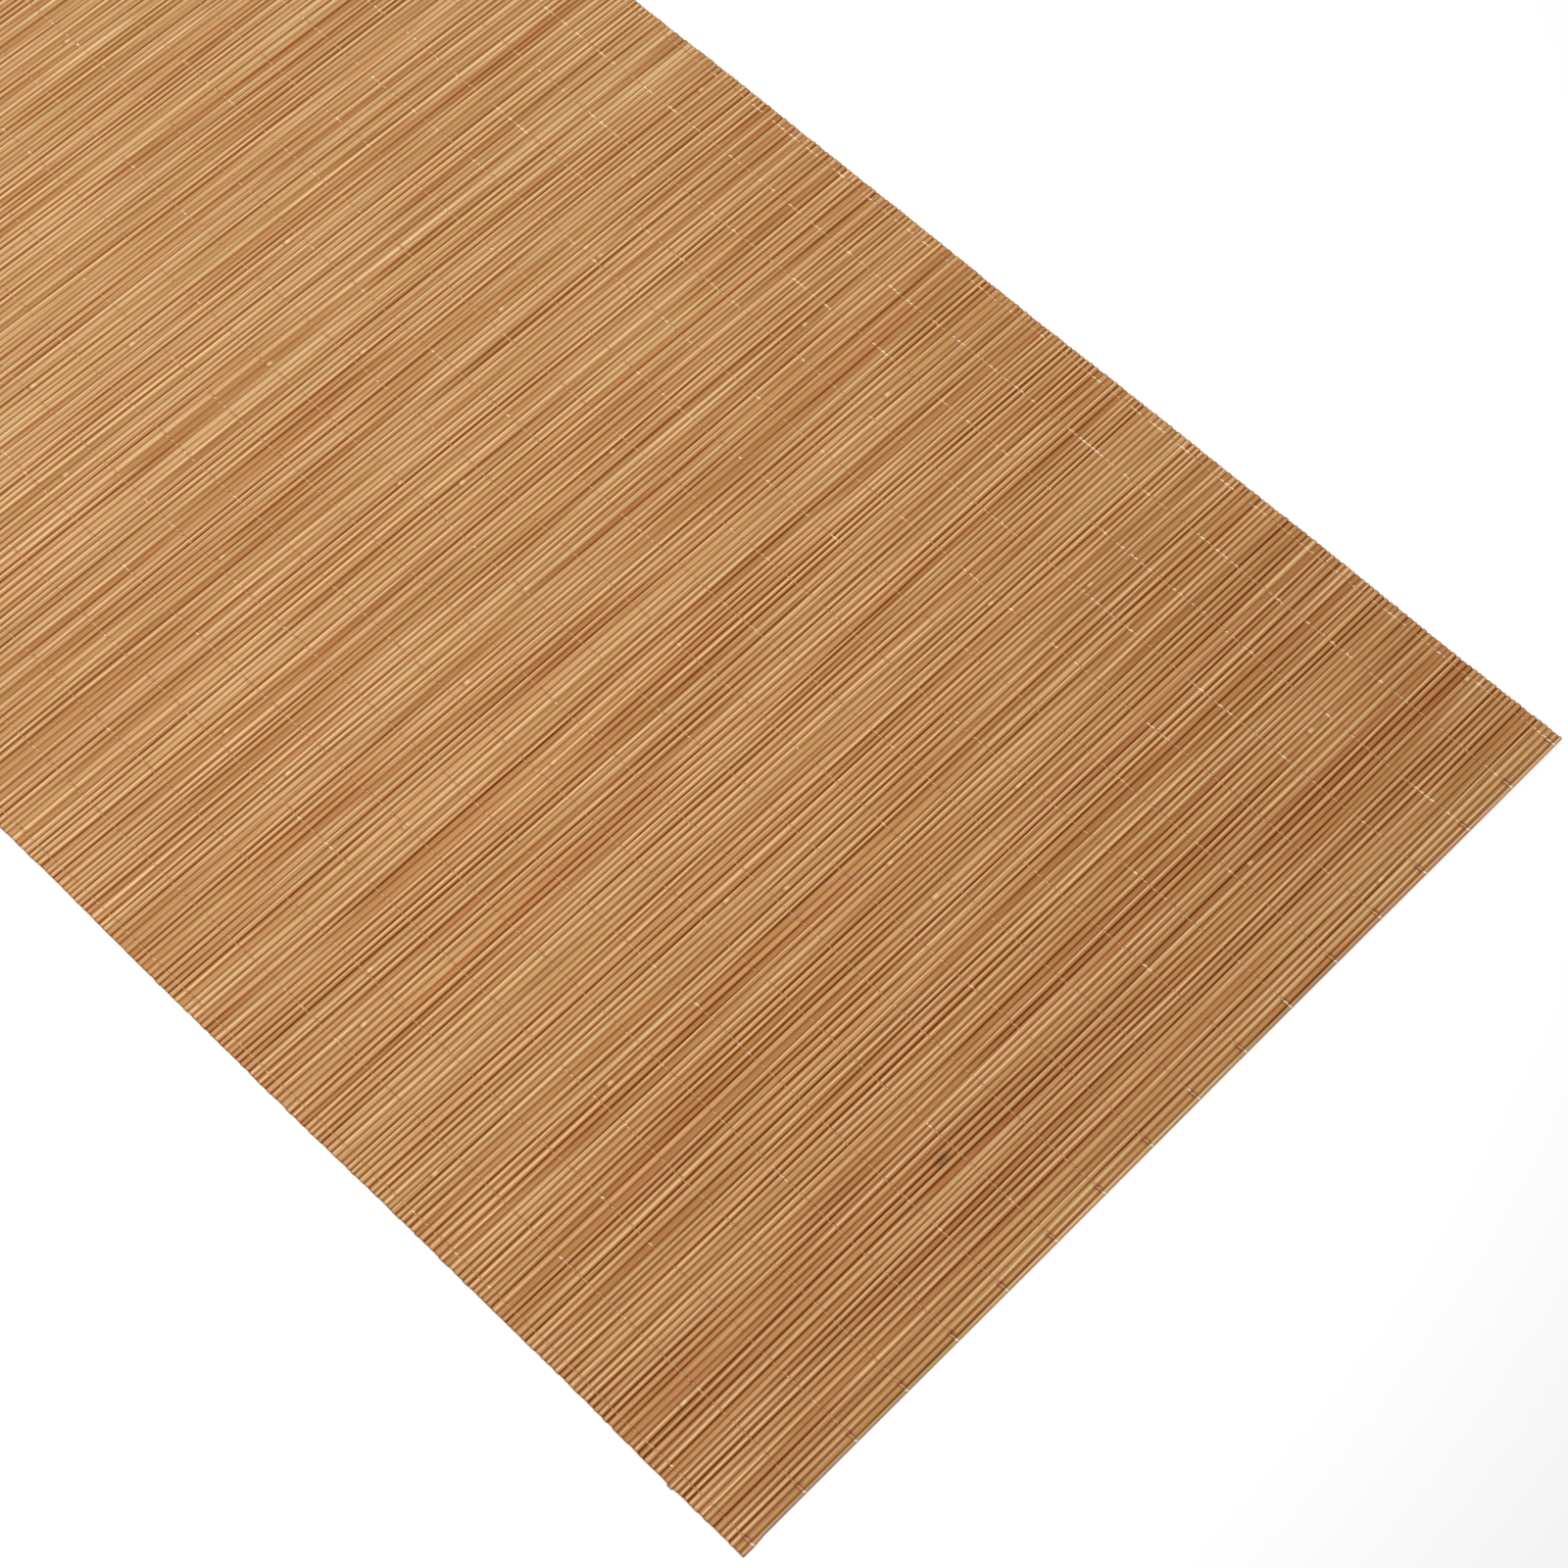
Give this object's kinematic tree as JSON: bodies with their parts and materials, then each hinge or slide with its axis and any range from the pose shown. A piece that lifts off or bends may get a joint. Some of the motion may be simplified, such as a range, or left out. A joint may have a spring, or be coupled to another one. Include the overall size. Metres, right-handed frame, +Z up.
{
  "type": "bamboo placemat",
  "caption": "Flat rectangular placemat of thin round bamboo sticks laid side by side and woven together with rows of pale thread.",
  "frame": {"origin": "middle of the underside, on the surface that the mat lies on", "axes": "+X along the sticks; +Y across the sticks, from the near short edge to the far one; +Z up"},
  "size_m": [0.3, 0.5, 0.0018],
  "materials": {
    "bamboo": "browned bamboo, smooth and slightly glossy",
    "thread": "pale twisted cotton thread, matt"
  },
  "bodies": {
    "root": {"bamboo_mat": "bamboo"}
  },
  "joints": []
}
